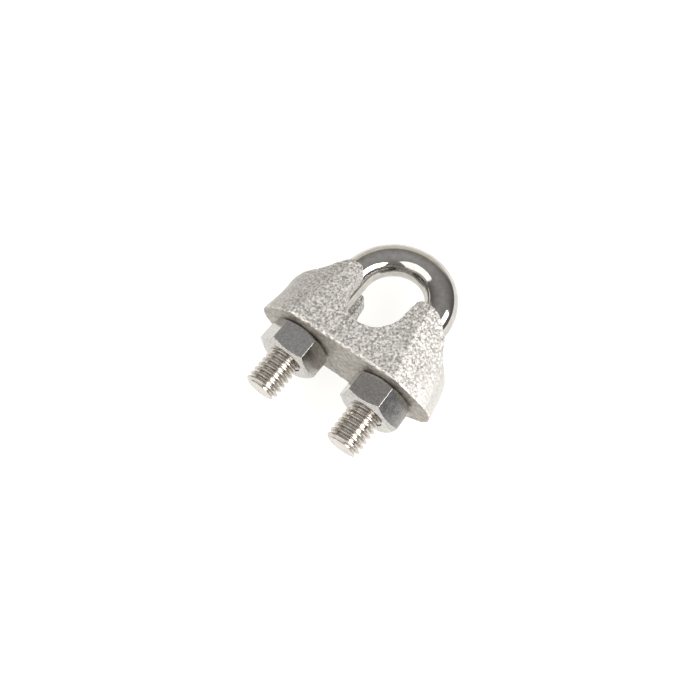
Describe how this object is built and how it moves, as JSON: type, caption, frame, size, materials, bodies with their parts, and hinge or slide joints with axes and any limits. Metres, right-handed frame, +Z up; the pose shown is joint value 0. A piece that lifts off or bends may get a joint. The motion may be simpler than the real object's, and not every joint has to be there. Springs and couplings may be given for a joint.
{
  "type": "wire rope clip",
  "caption": "U-bolt wire rope clip: a cast saddle, a threaded U-bolt and hexagon nuts that clamp the live and dead ends of a wire rope together to form an eye.",
  "frame": {"origin": "middle of the underside of the whole clip's box, with the clip lying on the flat back face of its saddle", "axes": "+X across the two legs, +Y along the legs from the nuts towards the bow, +Z up out of the saddle's front face; the rope runs through along Z"},
  "size_m": [0.0346, 0.0382, 0.0144],
  "materials": {
    "cast_saddle": "as-cast stainless steel, pickled, grainy matt",
    "u_bolt_steel": "polished stainless rod with rolled threads",
    "nut_steel": "bright machined stainless steel"
  },
  "bodies": {
    "saddle": {"saddle": "cast_saddle"},
    "u_bolt": {"u_bolt": "u_bolt_steel"},
    "nut_left": {"nut_left": "nut_steel"},
    "nut_right": {"nut_right": "nut_steel"}
  },
  "joints": [
    {"name": "u_bolt_slide", "type": "slide", "parent": "saddle", "child": "u_bolt", "axis": [0, 1, 0], "range_m": [-0.005, 0.006]},
    {"name": "nut_left_turn", "type": "hinge", "parent": "saddle", "child": "nut_left", "pos_m": [-0.0084, -0.01, 0.0072], "axis": [0, 1, 0], "range_deg": [-2160, 1800]},
    {"name": "nut_right_turn", "type": "hinge", "parent": "saddle", "child": "nut_right", "pos_m": [0.0084, -0.01, 0.0072], "axis": [0, 1, 0], "range_deg": [-2160, 1800]}
  ],
  "couplings": [
    {"joint": "nut_left_turn", "follows": "u_bolt_slide", "rad_per_m": -6283.2},
    {"joint": "nut_right_turn", "follows": "u_bolt_slide", "rad_per_m": -6283.2}
  ]
}
